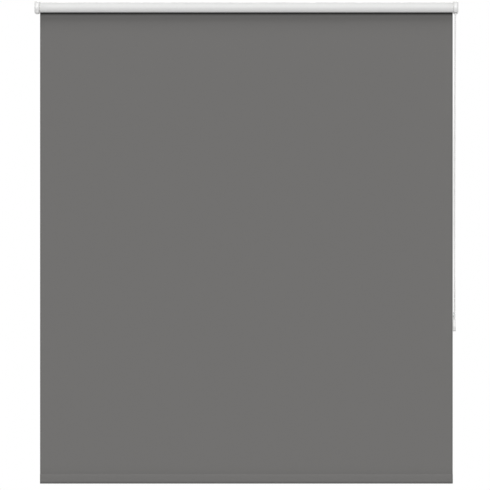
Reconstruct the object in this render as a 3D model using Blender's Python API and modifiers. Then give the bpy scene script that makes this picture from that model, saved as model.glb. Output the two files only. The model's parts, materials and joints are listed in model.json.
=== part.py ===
"""A chain-operated roller blind on two wall brackets.

Frame: +X runs along the roller towards the chain side, +Y points into the wall and +Z points up.
The origin lies on the wall plane, midway between the brackets and level with the roller's axis.
The blind is lowered. Lengths are in metres.
"""

import math

import bmesh
import bpy
from mathutils import Matrix, Vector

MM = 0.001

# ---------------------------------------------------------------- driving dimensions
FABRIC_HALF = 633.0 * MM
AXIS_Y = -24.0 * MM  # the roller's axis stands this far in front of the wall
LOWEST_Z = -1461.6 * MM  # bottom of the hem when the blind is fully lowered
GAP = 0.3 * MM  # working clearance between neighbouring pieces

# Roller
TUBE_RADIUS = 14.0 * MM
TUBE_WALL = 1.0 * MM
TUBE_HALF = FABRIC_HALF + 0.4 * MM
TUBE_KEY_DEPTH = 1.6 * MM
TUBE_KEY_HALF_WIDTH = 1.0 * MM
TAPE_THICKNESS = 0.15 * MM
FABRIC_THICKNESS = 0.38 * MM
ROLL_RADIUS = 15.45 * MM  # three wraps stay on the tube when the blind is down
FLANGE_RADIUS = 15.2 * MM
FLANGE_INNER_X = 633.7 * MM
FLANGE_OUTER_X = 635.2 * MM

# Brackets and their covers
COVER_STATIONS = [  # how far across, and the radius of the cover's outline there, in mm
    (634.0, 17.2), (634.4, 18.1), (635.2, 18.9), (636.4, 19.6), (638.0, 20.15), (640.2, 20.5), (642.6, 20.6),
    (644.8, 20.45), (646.4, 20.0), (647.8, 19.2), (648.9, 18.0), (649.6, 16.6), (650.0, 14.9),
]
HOLLOW_STATIONS = [
    (630.0, 16.0), (634.2, 16.0), (635.2, 17.2), (636.2, 17.9), (637.8, 18.7), (640.0, 19.2), (642.6, 19.35),
    (644.6, 19.2), (646.4, 18.8), (647.8, 17.95), (648.8, 17.1),
]
PLATE_THICKNESS = 1.5 * MM
PLATE_INNER_X = 647.0 * MM
PLATE_OUTER_X = PLATE_INNER_X + PLATE_THICKNESS
PLATE_RADIUS = 17.0 * MM
FLANGE_REACH_X = 636.6 * MM  # free edge of the wall and ceiling flanges
CEILING_FLANGE_FRONT = -3.0 * MM  # measured from the roller's axis
CEILING_FLANGE_Z = (16.15 * MM, 17.55 * MM)
FIXING_SPREAD = 11.0 * MM
FIXING_X = 642.2 * MM
SOCKET_RADIUS = 5.0 * MM
LUG_RADIUS = 7.9 * MM

# Bead chain
BEAD_PITCH = 6.0 * MM
CHAIN_RADIUS = 2.25 * MM
SPROCKET_POCKETS = 12
PITCH_RADIUS = BEAD_PITCH / (2 * math.sin(math.pi / SPROCKET_POCKETS))
CHAIN_X = 641.1 * MM
CHAIN_EXIT_Z = -21.5 * MM
GROOVE_RADIUS = CHAIN_RADIUS + GAP

# Clutch
POST_RADIUS = 5.0 * MM
POST_END_X = 597.0 * MM
SPROCKET_HALF_WIDTH = 3.85 * MM
SPROCKET_RADIUS = 13.0 * MM
SLEEVE_RADII = (6.8 * MM, 8.0 * MM)
SLEEVE_END_X = 606.0 * MM
HOUSING_RADII = (14.3 * MM, 15.8 * MM)
HOUSING_INNER_X = 636.6 * MM
HOUSING_DISC_X = 645.2 * MM
HOUSING_OUTER_X = 646.7 * MM
HUB_RADIUS = 12.6 * MM
HUB_GROOVE_RADIUS = 11.0 * MM
HUB_BORE = 8.4 * MM
HUB_END_X = 598.0 * MM

# Idle end
IDLE_PLUG_END_X = 595.0 * MM
PIN_RADIUS = 2.5 * MM
PIN_TIP_X = 648.2 * MM
PIN_COLLAR_X = 614.7 * MM
PIN_COLLAR_THICKNESS = 1.7 * MM
CHAMBER_RADIUS = 5.4 * MM
CHAMBER_FRONT_X = 615.0 * MM
IDLE_CAP_THICKNESS = 2.0 * MM
IDLE_SPRING_TURNS = 7

# Hem
HEM_HALF_HEIGHT = 14.6 * MM
HEM_HALF_DEPTH = 3.6 * MM
BAR_HALF_HEIGHT = 13.8 * MM
BAR_HALF_DEPTH = 3.0 * MM
BAR_WALL = 1.0 * MM
HEM_Y = AXIS_Y + ROLL_RADIUS + 0.15 * MM + FABRIC_THICKNESS / 2
HEM_Z = LOWEST_Z + HEM_HALF_HEIGHT

# Chain tensioner
TENSIONER_X = 638.1 * MM
TENSIONER_HALF_WIDTH = 3.8 * MM
TENSIONER_SKIN = 0.85 * MM
WHEEL_Z = -978.3 * MM
WHEEL_RADIUS = 10.6 * MM
WHEEL_HALF_WIDTH = 2.75 * MM
AXLE_RADIUS = 1.9 * MM
TENSIONER_TOP_Z = -957.0 * MM
TAB_TOP_Z = -943.7 * MM
TAB_THICKNESS = 2.4 * MM
TAB_SCREW_Z = -949.4 * MM
SCREW_TIP_Y = 14.5 * MM  # how far the screws reach into the wall

# The free chain, seen from the front: where its front strand passes, as (x, z).
FRONT_STRAND = [
    (641.1, -21.5), (641.0, -60), (640.6, -100), (639.9, -160), (639.2, -222), (638.6, -284),
    (637.9, -345), (637.3, -406), (636.9, -468), (636.6, -529), (636.5, -590), (636.6, -652),
    (637.1, -713), (637.9, -775), (638.8, -836), (639.5, -885), (639.7, -916), (639.4, -938),
    (638.6, -953), (638.1, -965), (638.1, -978.3),
]
BACK_STRAND_TOP = Vector((CHAIN_X, AXIS_Y + PITCH_RADIUS, CHAIN_EXIT_Z))
BACK_STRAND_FOOT = Vector((TENSIONER_X, AXIS_Y + PITCH_RADIUS, WHEEL_Z))
CONNECTOR_Z = -943.0 * MM
CONNECTOR_LENGTH = 14.0 * MM
CONNECTOR_RADIUS = 3.3 * MM

TURN_STEPS = 36
# Local X, Y and Z lie along world Y, Z and X, so an outline is drawn as seen from the chain side.
ALONG_X = Matrix(((0, 0, 1, 0), (1, 0, 0, 0), (0, 1, 0, 0), (0, 0, 0, 1)))
# Local Z lies along world Y, for what is screwed into the wall.
ALONG_Y = Matrix(((0, 1, 0, 0), (0, 0, 1, 0), (1, 0, 0, 0), (0, 0, 0, 1)))


# ---------------------------------------------------------------- scene and materials
def clear_scene():
    for obj in list(bpy.data.objects):
        bpy.data.objects.remove(obj)


def new_collection(name):
    collection = bpy.data.collections.new(name)
    bpy.context.scene.collection.children.link(collection)
    return collection


def new_material(name, colour, roughness, metallic=0.0, alpha=1.0):
    material = bpy.data.materials.new(name)
    material.use_nodes = True
    shader = material.node_tree.nodes["Principled BSDF"]
    shader.inputs["Base Color"].default_value = (*colour, 1.0)
    shader.inputs["Roughness"].default_value = roughness
    shader.inputs["Metallic"].default_value = metallic
    shader.inputs["Alpha"].default_value = alpha
    return material


clear_scene()
BLIND = new_collection("roller_blind")
CUTTERS = new_collection("cutters")
CUTTERS.hide_render = True
MATERIALS = {
    "white_plastic": new_material("white_plastic", (0.84, 0.84, 0.83), 0.35),
    "white_steel": new_material("white_steel", (0.80, 0.80, 0.79), 0.40),
    "nylon": new_material("nylon", (0.78, 0.77, 0.73), 0.45),
    "grey_fabric": new_material("grey_fabric", (0.16, 0.162, 0.147), 0.90),
    "white_backing": new_material("white_backing", (0.80, 0.80, 0.79), 0.70),
    "aluminium": new_material("aluminium", (0.66, 0.67, 0.68), 0.35, 1.0),
    "zinc_steel": new_material("zinc_steel", (0.58, 0.58, 0.57), 0.35, 1.0),
    "spring_steel": new_material("spring_steel", (0.36, 0.36, 0.37), 0.30, 1.0),
    "grey_plastic": new_material("grey_plastic", (0.22, 0.22, 0.21), 0.50),
    "clear_plastic": new_material("clear_plastic", (0.86, 0.87, 0.87), 0.15, 0.0, 0.5),
    "tape": new_material("tape", (0.70, 0.68, 0.60), 0.55),
}


def axis_empty(name, place):
    empty = bpy.data.objects.new(name, None)
    empty.empty_display_size = 0.03
    empty.location = place
    BLIND.objects.link(empty)
    return empty


ROOT = axis_empty("blind_origin", (0, 0, 0))
ROLLER_AXIS = axis_empty("roller_axis", (0, AXIS_Y, 0))
HEM = axis_empty("hem", (0, HEM_Y, HEM_Z))
TENSIONER_AXIS = axis_empty("tensioner_axis", (TENSIONER_X, AXIS_Y, WHEEL_Z))
for group in (ROLLER_AXIS, HEM, TENSIONER_AXIS):
    group.parent = ROOT


# ---------------------------------------------------------------- outlines
def polar(radius, angle):
    return (radius * math.cos(angle), radius * math.sin(angle))


def circle(radius, steps=48):
    return [polar(radius, 2 * math.pi * i / steps) for i in range(steps)]


def arc(radius, start, end, steps):
    return [polar(radius, start + (end - start) * i / steps) for i in range(steps + 1)]


def arc_band(inner, outer, start, end, steps=12):
    return arc(outer, start, end, steps) + arc(inner, end, start, steps)


def toothed(base, tooth, count, half_width, first_angle=math.pi / 2, land_steps=4):
    """A circle of radius base with count teeth, or notches, that narrow slightly to radius tooth."""
    points = []
    at_base, at_tooth = math.asin(half_width / base), math.asin(0.96 * half_width / tooth)
    land = 2 * math.pi / count - 2 * at_base
    for k in range(count):
        centre = first_angle + 2 * math.pi * k / count
        points += [
            polar(base, centre - at_base),
            polar(tooth, centre - at_tooth),
            polar(tooth, centre + at_tooth),
            polar(base, centre + at_base),
        ]
        points += [polar(base, centre + at_base + land * i / land_steps) for i in range(1, land_steps)]
    return points


def bow_front(radius, back, steps=24):
    """A half circle towards the room, carried back to the wall by straight sides."""
    return [(back, radius)] + arc(radius, math.pi / 2, 3 * math.pi / 2, steps) + [(back, -radius)]


def lens(half_depth, half_height, steps=40, fullness=2.4):
    """The flat oval of the hem, as a superellipse."""
    points = []
    for i in range(steps):
        angle = 2 * math.pi * i / steps
        c, s = math.cos(angle), math.sin(angle)
        depth = half_depth * math.copysign(abs(c) ** (2 / fullness), c)
        height = half_height * math.copysign(abs(s) ** (2 / fullness), s)
        points.append((depth, height))
    return points


def rectangle(u_low, u_high, v_low, v_high):
    return [(u_low, v_low), (u_high, v_low), (u_high, v_high), (u_low, v_high)]


# ---------------------------------------------------------------- making pieces
def finish_piece(obj, material, parent):
    BLIND.objects.link(obj)
    obj.data.materials.clear()
    obj.data.materials.append(MATERIALS[material])
    place_under(obj, parent)
    return obj


def place_under(obj, parent):
    obj.parent = parent
    parent_place = Matrix.Translation(parent.location)
    obj.matrix_parent_inverse = parent_place.inverted()


def mesh_of_curve(curve, name):
    """The closed mesh that a curve makes, with its caps welded to its sides."""
    guide = bpy.data.objects.new(name + "_guide", curve)
    bpy.context.scene.collection.objects.link(guide)
    bpy.context.view_layer.update()
    evaluated = guide.evaluated_get(bpy.context.evaluated_depsgraph_get())
    mesh = bpy.data.meshes.new_from_object(evaluated)
    mesh.name = name
    bpy.data.objects.remove(guide)
    bm = bmesh.new()
    bm.from_mesh(mesh)
    bmesh.ops.remove_doubles(bm, verts=bm.verts, dist=1e-6)
    bmesh.ops.dissolve_limit(bm, angle_limit=0.001, verts=bm.verts, edges=bm.edges)
    bmesh.ops.recalc_face_normals(bm, faces=bm.faces)
    bm.to_mesh(mesh)
    bm.free()
    return mesh


def slab_mesh(name, outlines, low, high):
    """Outlines filled and extruded along local Z from low to high."""
    curve = bpy.data.curves.new(name, "CURVE")
    curve.dimensions = "2D"
    curve.fill_mode = "BOTH"
    curve.extrude = (high - low) / 2
    for outline in outlines:
        spline = curve.splines.new("POLY")
        spline.points.add(len(outline) - 1)
        for point, (u, v) in zip(spline.points, outline):
            point.co = (u, v, 0, 1)
        spline.use_cyclic_u = True
    mesh = mesh_of_curve(curve, name)
    mesh.transform(Matrix.Translation((0, 0, (high + low) / 2)))
    return mesh


def slab(name, outlines, x_low, x_high, material, parent=None, centre=(AXIS_Y, 0.0)):
    """A flat outline, seen from the chain side and centred on a line along X, as a solid."""
    obj = bpy.data.objects.new(name, slab_mesh(name, outlines, x_low, x_high))
    obj.matrix_world = Matrix.Translation((0, *centre)) @ ALONG_X
    return finish_piece(obj, material, parent or ROOT)


def turned_object(name, profile, closed, steps=TURN_STEPS):
    """A profile of (along the axis, radius), turned round local Z."""
    points = [Vector((radius, 0, along)) for along, radius in profile]
    turned_left = sum(a.x * b.z - b.x * a.z for a, b in zip(points, points[1:] + points[:1])) > 0
    if turned_left:
        points.reverse()
    edges = [(i, i + 1) for i in range(len(points) - 1)]
    if closed:
        edges.append((len(points) - 1, 0))
    mesh = bpy.data.meshes.new(name)
    mesh.from_pydata(points, edges, [])
    obj = bpy.data.objects.new(name, mesh)
    screw = obj.modifiers.new("turn", "SCREW")
    screw.axis = "Z"
    screw.steps = steps
    screw.render_steps = steps
    screw.use_merge_vertices = True
    screw.merge_threshold = 1e-6
    return obj


def turned(name, profile, material, parent=None, centre=(AXIS_Y, 0.0), closed=True, steps=TURN_STEPS):
    """A piece turned round a line along X."""
    obj = turned_object(name, profile, closed, steps)
    obj.matrix_world = Matrix.Translation((0, *centre)) @ ALONG_X
    return finish_piece(obj, material, parent or ROOT)


def box_object(name, low, high):
    bm = bmesh.new()
    bmesh.ops.create_cube(bm, size=1.0)
    size, middle = Vector(high) - Vector(low), (Vector(high) + Vector(low)) / 2
    bmesh.ops.scale(bm, vec=size, verts=bm.verts)
    mesh = bpy.data.meshes.new(name)
    bm.to_mesh(mesh)
    bm.free()
    obj = bpy.data.objects.new(name, mesh)
    obj.location = middle
    return obj


def combine(piece, other, operation):
    """Cuts other from a piece, or joins other to it."""
    for collection in list(other.users_collection):
        collection.objects.unlink(other)
    CUTTERS.objects.link(other)
    other.hide_render = True
    other.display_type = "WIRE"
    modifier = piece.modifiers.new(other.name, "BOOLEAN")
    modifier.operation = operation
    modifier.object = other
    return piece


def cut(piece, *others):
    for other in others:
        combine(piece, other, "DIFFERENCE")


def join(piece, *others):
    for other in others:
        combine(piece, other, "UNION")


def wire(name, points, radius, material, parent=None, sides_setting=1):
    """A round wire or cord along points."""
    curve = bpy.data.curves.new(name, "CURVE")
    curve.dimensions = "3D"
    curve.bevel_depth = radius
    curve.bevel_resolution = sides_setting
    curve.use_fill_caps = True
    spline = curve.splines.new("POLY")
    spline.points.add(len(points) - 1)
    for point, place in zip(spline.points, points):
        point.co = (*place, 1)
    obj = bpy.data.objects.new(name, curve)
    BLIND.objects.link(obj)
    curve.materials.append(MATERIALS[material])
    place_under(obj, parent or ROOT)
    return obj


def helix(centre, radius, x_from, x_to, turns, per_turn=12, tang=None):
    """Points of a coil round a line along X, with an optional tang bent outwards at each end."""
    y, z = centre
    count = turns * per_turn
    points = []
    for i in range(count + 1):
        angle = -math.pi / 2 + 2 * math.pi * i / per_turn
        x = x_from + (x_to - x_from) * i / count
        points.append((x, y + radius * math.cos(angle), z + radius * math.sin(angle)))
    if tang:
        points.insert(0, (x_from, y, z - tang))
        points.append((x_to, y, z - tang))
    return points


def smooth_shading(obj, angle=math.radians(35)):
    if obj.type == "MESH" and obj.data.polygons:
        obj.data.shade_smooth()
        obj.data.set_sharp_from_angle(angle=angle)


# ---------------------------------------------------------------- brackets
def mirrored(x, side):
    """An X of the chain side, carried to side +1 or -1."""
    return side * x


def span(a, b, side):
    """The low and high X of a stretch given on the chain side."""
    return sorted((mirrored(a, side), mirrored(b, side)))


def bracket(prefix, side):
    """A bent steel bracket: a side plate that holds the roller, a wall flange and a ceiling flange."""
    wall = -AXIS_Y
    outlines = [
        bow_front(PLATE_RADIUS, wall),
        toothed(SOCKET_RADIUS, LUG_RADIUS, 2, 1.9 * MM, first_angle=0.0, land_steps=8),
    ]
    plate = slab(prefix + "_bracket", outlines, *span(PLATE_INNER_X, PLATE_OUTER_X, side), "white_steel")
    low, high = span(FLANGE_REACH_X, PLATE_OUTER_X, side)
    inner_low, inner_high = span(FLANGE_REACH_X, PLATE_INNER_X + 0.7 * MM, side)
    wall_flange = box_object(
        prefix + "_wall_flange", (low, -PLATE_THICKNESS, -PLATE_RADIUS), (high, 0, PLATE_RADIUS)
    )
    ceiling_flange = box_object(
        prefix + "_ceiling_flange",
        (inner_low, AXIS_Y + CEILING_FLANGE_FRONT, CEILING_FLANGE_Z[0]),
        (inner_high, -0.6 * MM, CEILING_FLANGE_Z[1]),
    )
    join(plate, wall_flange, ceiling_flange)
    hole_radius, hole_length = 2.2 * MM, 6.0 * MM
    slot = [
        (x + math.copysign(hole_length / 2 - hole_radius, x), y)
        for x, y in circle(hole_radius, 16)
    ]
    for number, height in enumerate((FIXING_SPREAD, -FIXING_SPREAD)):
        mesh = slab_mesh(prefix + "_wall_slot", [[(y, x) for x, y in reversed(slot)]], -4 * MM, 4 * MM)
        cutter = bpy.data.objects.new(f"{prefix}_wall_slot_{number}", mesh)
        cutter.matrix_world = Matrix.Translation((mirrored(FIXING_X, side), 0, height)) @ ALONG_Y
        cut(plate, cutter)
    for number, y in enumerate((-6.5 * MM, -19.5 * MM)):
        mesh = slab_mesh(prefix + "_ceiling_slot", [slot], -4 * MM, 4 * MM)
        cutter = bpy.data.objects.new(f"{prefix}_ceiling_slot_{number}", mesh)
        cutter.location = (mirrored(FIXING_X - 1.0 * MM, side), y, PLATE_RADIUS)
        cut(plate, cutter)
    return plate


def lofted_object(name, stations, back, side):
    """A bow-fronted block whose outline changes from station to station across it."""
    if side < 0:
        stations = [(-x, radius) for x, radius in reversed(stations)]
    bm = bmesh.new()
    rings = [
        [bm.verts.new((u, v, x * MM)) for u, v in bow_front(radius * MM, back)] for x, radius in stations
    ]
    for near, far in zip(rings, rings[1:]):
        for i in range(len(near)):
            k = (i + 1) % len(near)
            bm.faces.new((near[i], near[k], far[k], far[i]))
    bm.faces.new(rings[0])
    bm.faces.new(rings[-1])
    bmesh.ops.recalc_face_normals(bm, faces=bm.faces)
    mesh = bpy.data.meshes.new(name)
    bm.to_mesh(mesh)
    bm.free()
    obj = bpy.data.objects.new(name, mesh)
    obj.matrix_world = Matrix.Translation((0, AXIS_Y, 0)) @ ALONG_X
    return obj


def bracket_cover(prefix, side):
    """The plastic cap that is pushed over a bracket from the side."""
    back = -AXIS_Y - 0.3 * MM
    cover = lofted_object(prefix + "_bracket_cover", COVER_STATIONS, back, side)
    finish_piece(cover, "white_plastic", ROOT)
    hollow = lofted_object(prefix + "_cover_hollow", HOLLOW_STATIONS, back + 5 * MM, side)
    cut(cover, hollow)
    if side > 0:
        slot = box_object(
            "cover_chain_slot",
            (CHAIN_X - 3.0 * MM, AXIS_Y - PITCH_RADIUS - 3.3 * MM, -30 * MM),
            (CHAIN_X + 3.0 * MM, AXIS_Y + PITCH_RADIUS + 3.3 * MM, -10 * MM),
        )
        cut(cover, slot)
    return cover


# ---------------------------------------------------------------- chain clutch
def clutch_housing():
    """The fixed cup that guards the sprocket and hooks into the bracket."""
    inner, outer = HOUSING_RADII
    socket_floor = HOUSING_DISC_X + 0.8 * MM
    profile = [
        (HOUSING_OUTER_X, 0),
        (HOUSING_OUTER_X, outer),
        (HOUSING_INNER_X, outer),
        (HOUSING_INNER_X, inner),
        (HOUSING_DISC_X, inner),
        (HOUSING_DISC_X, POST_RADIUS + 0.15 * MM),
        (socket_floor, POST_RADIUS + 0.15 * MM),
        (socket_floor, 0),
    ]
    housing = turned("clutch_housing", profile, "white_plastic", closed=False)
    boss = slab(
        "clutch_boss",
        [toothed(SOCKET_RADIUS - GAP, LUG_RADIUS - 0.4 * MM, 2, 1.5 * MM, first_angle=0.0, land_steps=8)],
        HOUSING_OUTER_X - 0.3 * MM,
        PLATE_OUTER_X - 0.1 * MM,
        "white_plastic",
    )
    join(housing, boss)
    strand_clear = PITCH_RADIUS - GROOVE_RADIUS - 0.1 * MM
    for number, way in enumerate((-1, 1)):
        ends = sorted((AXIS_Y + way * strand_clear, AXIS_Y + way * 18 * MM))
        slot = box_object(
            f"housing_chain_slot_{number}",
            (HOUSING_INNER_X - 2 * MM, ends[0], -20 * MM),
            (HOUSING_DISC_X - 0.4 * MM, ends[1], -2 * MM),
        )
        cut(housing, slot)
    return housing


def groove_profile(middle, half_width, rim, bore):
    """A grooved wheel's section: (along, radius), half round under the chain and open above it."""
    rise = min(rim - PITCH_RADIUS, 0.0)
    start = math.asin(rise / GROOVE_RADIUS)
    steps = 8
    sweep = [start + (-math.pi - 2 * start) * i / steps for i in range(steps + 1)]
    groove = [
        (middle + GROOVE_RADIUS * math.cos(a), PITCH_RADIUS + GROOVE_RADIUS * math.sin(a)) for a in sweep
    ]
    if rim > PITCH_RADIUS:
        groove = [(middle + GROOVE_RADIUS, rim)] + groove + [(middle - GROOVE_RADIUS, rim)]
    else:
        groove[0], groove[-1] = (groove[0][0], rim), (groove[-1][0], rim)
    return [
        (middle - half_width, bore),
        (middle + half_width, bore),
        (middle + half_width, rim),
        *groove,
        (middle - half_width, rim),
    ]


def chain_sprocket():
    """The chain wheel with its slotted drive sleeve, which runs on the fixed post."""
    profile = groove_profile(CHAIN_X, SPROCKET_HALF_WIDTH, SPROCKET_RADIUS, POST_RADIUS + 0.4 * MM)
    wheel = turned("chain_sprocket", profile, "nylon", ROLLER_AXIS)
    half_slot = math.radians(38)
    sleeve = slab(
        "sprocket_sleeve",
        [arc_band(*SLEEVE_RADII, -math.pi / 2 + half_slot, 3 * math.pi / 2 - half_slot, steps=24)],
        SLEEVE_END_X,
        CHAIN_X - SPROCKET_HALF_WIDTH + 0.6 * MM,
        "nylon",
    )
    join(wheel, sleeve)
    return wheel


def drive_hub():
    """The finned crown that turns the tube, driven through the slot in the sprocket's sleeve."""
    fins = toothed(HUB_RADIUS, HUB_GROOVE_RADIUS, 8, 1.5 * MM)
    hub = slab("drive_hub", [fins, circle(HUB_BORE)], HUB_END_X, FLANGE_INNER_X + 0.5 * MM, "nylon", ROLLER_AXIS)
    flange = slab("hub_flange", [circle(FLANGE_RADIUS), circle(HUB_BORE)], FLANGE_INNER_X, FLANGE_OUTER_X, "nylon")
    end_wall = slab(
        "hub_end_wall",
        [circle(HUB_BORE + 0.8 * MM), circle(POST_RADIUS + 0.3 * MM)],
        HUB_END_X,
        HUB_END_X + 1.6 * MM,
        "nylon",
    )
    half_key = math.radians(14)
    key = slab(
        "hub_drive_key",
        [arc_band(7.0 * MM, HUB_BORE + 0.6 * MM, -math.pi / 2 - half_key, -math.pi / 2 + half_key, steps=4)],
        HUB_END_X + 1.0 * MM,
        FLANGE_INNER_X - 4 * MM,
        "nylon",
    )
    join(hub, flange, end_wall, key)
    return hub


def clutch():
    clutch_housing()
    chain_sprocket()
    drive_hub()
    post_profile = [
        (POST_END_X, 1.75 * MM),
        (HOUSING_DISC_X + 0.6 * MM, 1.75 * MM),
        (HOUSING_DISC_X + 0.6 * MM, POST_RADIUS),
        (POST_END_X + 0.6 * MM, POST_RADIUS),
        (POST_END_X, POST_RADIUS - 0.6 * MM),
    ]
    turned("clutch_post", post_profile, "zinc_steel", steps=28)
    spring_wire, spring_turns = 0.5 * MM, 5
    for name, start in (("clutch_spring_inner", 609.5 * MM), ("clutch_spring_outer", 622.5 * MM)):
        coil = helix(
            (AXIS_Y, 0), POST_RADIUS + 0.15 * MM + spring_wire, start, start + 7.0 * MM, spring_turns, tang=6.6 * MM
        )
        wire(name, coil, spring_wire, "spring_steel", ROLLER_AXIS)
    washer_profile = [(a, r) for a in (595.8 * MM, POST_END_X - 0.1 * MM) for r in (1.9 * MM, 7.4 * MM)]
    washer_profile[2], washer_profile[3] = washer_profile[3], washer_profile[2]
    turned("retaining_washer", washer_profile, "zinc_steel", steps=28)
    turned(
        "retaining_screw",
        [
            (608.0 * MM, 0),
            (606.8 * MM, 1.55 * MM),
            (595.7 * MM, 1.55 * MM),
            (595.7 * MM, 3.1 * MM),
            (594.6 * MM, 3.0 * MM),
            (593.8 * MM, 2.1 * MM),
            (593.5 * MM, 0),
        ],
        "zinc_steel",
        closed=False,
        steps=16,
    )


# ---------------------------------------------------------------- idle end
def idle_end():
    """The plug with its sprung pin, at the side without a chain."""
    fins = toothed(HUB_RADIUS, HUB_GROOVE_RADIUS, 8, 1.5 * MM)
    plug = slab(
        "idle_plug", [fins, circle(CHAMBER_RADIUS, 32)], -CHAMBER_FRONT_X, -IDLE_PLUG_END_X, "nylon", ROLLER_AXIS
    )
    bore = PIN_RADIUS + 0.25 * MM
    front = slab(
        "idle_plug_front", [fins, circle(bore, 24)], -(FLANGE_INNER_X + 0.5 * MM), -(CHAMBER_FRONT_X - 0.2 * MM), "nylon"
    )
    flange = slab("idle_flange", [circle(FLANGE_RADIUS), circle(bore, 24)], -FLANGE_OUTER_X, -FLANGE_INNER_X, "nylon")
    nose = slab("idle_nose", [circle(7.0 * MM, 32), circle(bore, 24)], -644.8 * MM, -(FLANGE_OUTER_X - 0.5 * MM), "nylon")
    join(plug, front, flange, nose)
    turned(
        "idle_plug_cap",
        [
            (-IDLE_PLUG_END_X, 0),
            (-IDLE_PLUG_END_X, CHAMBER_RADIUS - 0.2 * MM),
            (-IDLE_PLUG_END_X - IDLE_CAP_THICKNESS, CHAMBER_RADIUS - 0.2 * MM),
            (-IDLE_PLUG_END_X - IDLE_CAP_THICKNESS, 0),
        ],
        "nylon",
        ROLLER_AXIS,
        closed=False,
        steps=28,
    )
    collar_back = PIN_COLLAR_X - PIN_COLLAR_THICKNESS
    turned(
        "idle_pin",
        [
            (-606.0 * MM, 0),
            (-606.5 * MM, PIN_RADIUS),
            (-collar_back, PIN_RADIUS),
            (-collar_back, CHAMBER_RADIUS - 0.4 * MM),
            (-PIN_COLLAR_X, CHAMBER_RADIUS - 0.4 * MM),
            (-PIN_COLLAR_X, PIN_RADIUS),
            (-PIN_TIP_X + 1.2 * MM, PIN_RADIUS),
            (-PIN_TIP_X, PIN_RADIUS - 0.9 * MM),
            (-PIN_TIP_X, 0),
        ],
        "zinc_steel",
        closed=False,
        steps=24,
    )
    spring_wire = 0.4 * MM
    start = IDLE_PLUG_END_X + IDLE_CAP_THICKNESS + GAP + spring_wire
    end = collar_back - GAP - spring_wire
    coil = helix((AXIS_Y, 0), 3.9 * MM, -start, -end, IDLE_SPRING_TURNS, per_turn=10)
    wire("idle_spring", coil, spring_wire, "spring_steel", ROLLER_AXIS)
    turned(
        "idle_bearing",
        [
            (-645.2 * MM, PIN_RADIUS + 0.25 * MM),
            (-645.2 * MM, 6.4 * MM),
            (-(PLATE_INNER_X - GAP), 6.4 * MM),
            (-(PLATE_INNER_X - GAP), SOCKET_RADIUS - GAP),
            (-(PLATE_OUTER_X - 0.1 * MM), SOCKET_RADIUS - GAP),
            (-(PLATE_OUTER_X - 0.1 * MM), PIN_RADIUS + 0.25 * MM),
        ],
        "nylon",
        steps=28,
    )


# ---------------------------------------------------------------- roller, fabric and hem
def roller():
    bore = toothed(
        TUBE_RADIUS - TUBE_WALL, TUBE_RADIUS - TUBE_WALL - TUBE_KEY_DEPTH, 1, TUBE_KEY_HALF_WIDTH, land_steps=46
    )
    slab("roller_tube", [circle(TUBE_RADIUS), bore], -TUBE_HALF, TUBE_HALF, "aluminium", ROLLER_AXIS)
    tape_inner = TUBE_RADIUS + 0.03 * MM
    tape = arc_band(tape_inner, tape_inner + TAPE_THICKNESS, math.radians(55), math.radians(125), steps=14)
    slab("fabric_tape", [tape], -FABRIC_HALF + 2 * MM, FABRIC_HALF - 2 * MM, "tape", ROLLER_AXIS)
    roll_inner = tape_inner + TAPE_THICKNESS + 0.07 * MM
    wraps = [circle(ROLL_RADIUS, 64), circle(roll_inner, 64)]
    slab("fabric_roll", wraps, -FABRIC_HALF, FABRIC_HALF, "white_backing", ROLLER_AXIS)


def fabric_drop():
    """The hanging fabric, which leaves the back of the roll and meets the hem."""
    front = HEM_Y - FABRIC_THICKNESS / 2
    hem_top = HEM_Z + HEM_HALF_HEIGHT
    drop = box_object("fabric_drop", (-FABRIC_HALF, front, hem_top + 0.1 * MM), (FABRIC_HALF, front + FABRIC_THICKNESS, 0))
    finish_piece(drop, "grey_fabric", ROOT)


def hem():
    """The bottom bar in its fabric pocket, closed by an end cap at each side."""
    centre = (HEM_Y, HEM_Z)
    pocket_half = FABRIC_HALF - 0.3 * MM
    outer = lens(HEM_HALF_DEPTH, HEM_HALF_HEIGHT)
    inner = lens(HEM_HALF_DEPTH - FABRIC_THICKNESS, HEM_HALF_HEIGHT - FABRIC_THICKNESS)
    slab("hem_pocket", [outer, inner], -pocket_half, pocket_half, "grey_fabric", HEM, centre)
    bar = lens(BAR_HALF_DEPTH, BAR_HALF_HEIGHT)
    bar_bore = lens(BAR_HALF_DEPTH - BAR_WALL, BAR_HALF_HEIGHT - BAR_WALL)
    slab("bottom_bar", [bar, bar_bore], -pocket_half, pocket_half, "aluminium", HEM, centre)
    cap_inner, cap_outer = pocket_half + 0.2 * MM, FABRIC_HALF + 0.7 * MM
    for name, side in (("bottom_bar_cap_left", -1), ("bottom_bar_cap_right", 1)):
        cap = slab(
            name,
            [lens(HEM_HALF_DEPTH - 0.1 * MM, HEM_HALF_HEIGHT - 0.1 * MM)],
            *span(cap_inner, cap_outer, side),
            "grey_plastic",
            HEM,
            centre,
        )
        plug = slab(
            name + "_plug",
            [lens(BAR_HALF_DEPTH - BAR_WALL - 0.2 * MM, BAR_HALF_HEIGHT - BAR_WALL - 0.2 * MM)],
            *span(FABRIC_HALF - 13 * MM, cap_inner + 0.2 * MM, side),
            "grey_plastic",
            HEM,
            centre,
        )
        join(cap, plug)


# ---------------------------------------------------------------- bead chain
def smooth_route(points, samples):
    """A Catmull-Rom curve through points, as evenly numbered samples."""
    padded = [points[0] * 2 - points[1]] + points + [points[-1] * 2 - points[-2]]
    route = []
    for i in range(samples + 1):
        at = i / samples * (len(points) - 1)
        k = min(int(at), len(points) - 2)
        t = at - k
        p0, p1, p2, p3 = padded[k : k + 4]
        route.append(
            0.5 * (2 * p1 + (p2 - p0) * t + (2 * p0 - 5 * p1 + 4 * p2 - p3) * t**2 + (3 * p1 - p0 - 3 * p2 + p3) * t**3)
        )
    return route


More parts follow.
